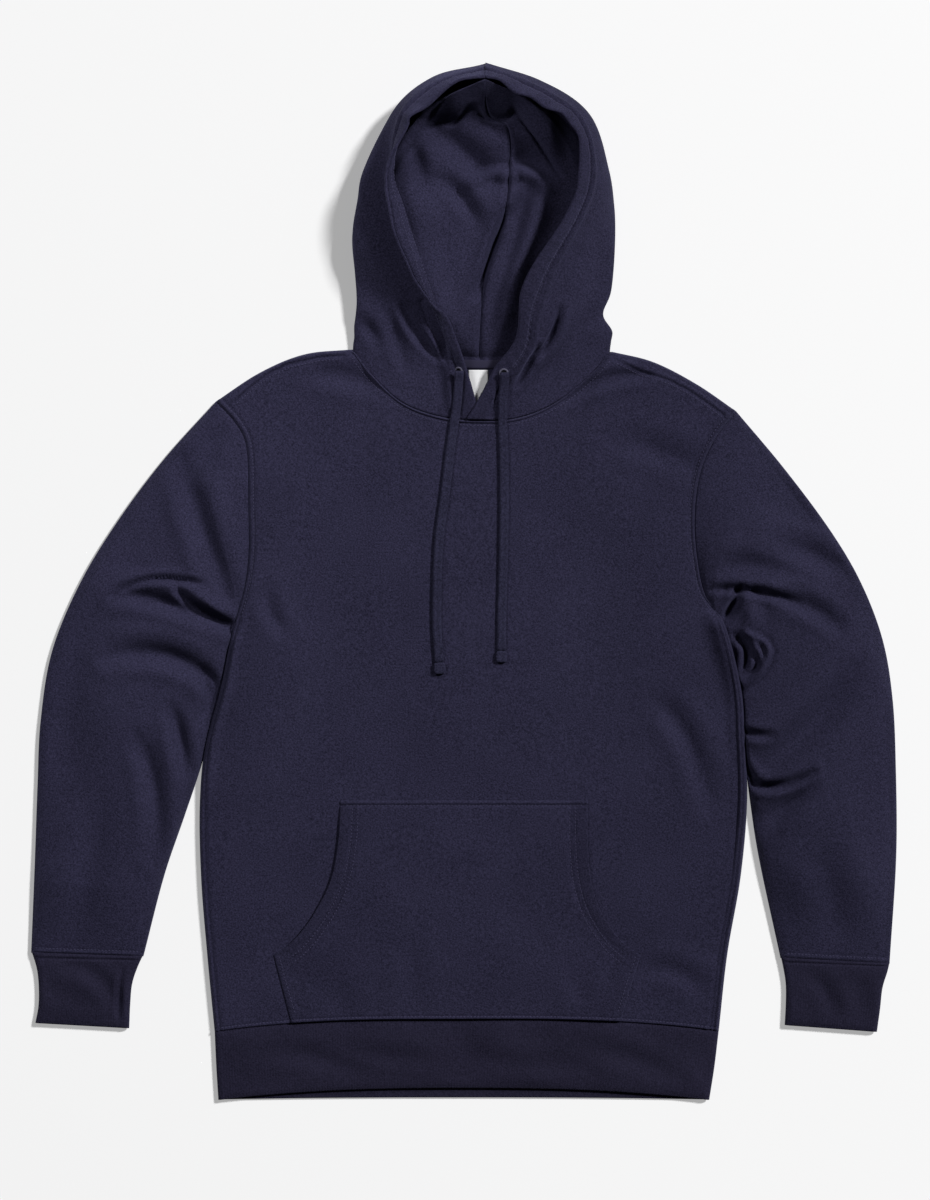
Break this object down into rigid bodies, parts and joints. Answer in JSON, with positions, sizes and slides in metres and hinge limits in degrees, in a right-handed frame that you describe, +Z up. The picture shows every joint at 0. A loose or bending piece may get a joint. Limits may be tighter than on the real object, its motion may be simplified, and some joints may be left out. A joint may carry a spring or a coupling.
{
  "type": "pullover hoodie",
  "caption": "Pullover hoodie in dark navy brushed fleece, laid flat on its back with the hood open, ribbed cuffs and waistband, a kangaroo pocket and a flat drawcord.",
  "frame": {"origin": "under the middle of the garment's box, on the surface it lies on", "axes": "+Z up from the surface, +Y from the waistband to the hood, +X to the wearer's left sleeve"},
  "size_m": [0.8201, 0.9794, 0.0575],
  "materials": {
    "fleece": "brushed knit, speckled, matt with a faint sheen",
    "rib": "1x1 rib knit, matt",
    "cord": "flat self-cloth cord, matt",
    "eyelet_thread": "sewn thread, faint sheen",
    "tape": "twill tape, matt",
    "label": "woven satin, blank"
  },
  "bodies": {
    "root": {"body_back": "fleece", "body_front": "fleece", "cord_end_left": "cord", "cord_end_right": "cord", "cuff_left": "rib", "cuff_right": "rib", "drawcord_left": "cord", "drawcord_right": "cord", "eyelet_left": "eyelet_thread", "eyelet_right": "eyelet_thread", "hood_left": "fleece", "hood_right": "fleece", "neck_label": "label", "neck_tape": "tape", "pocket": "fleece", "sleeve_left": "fleece", "sleeve_right": "fleece", "waistband": "rib"}
  },
  "joints": []
}
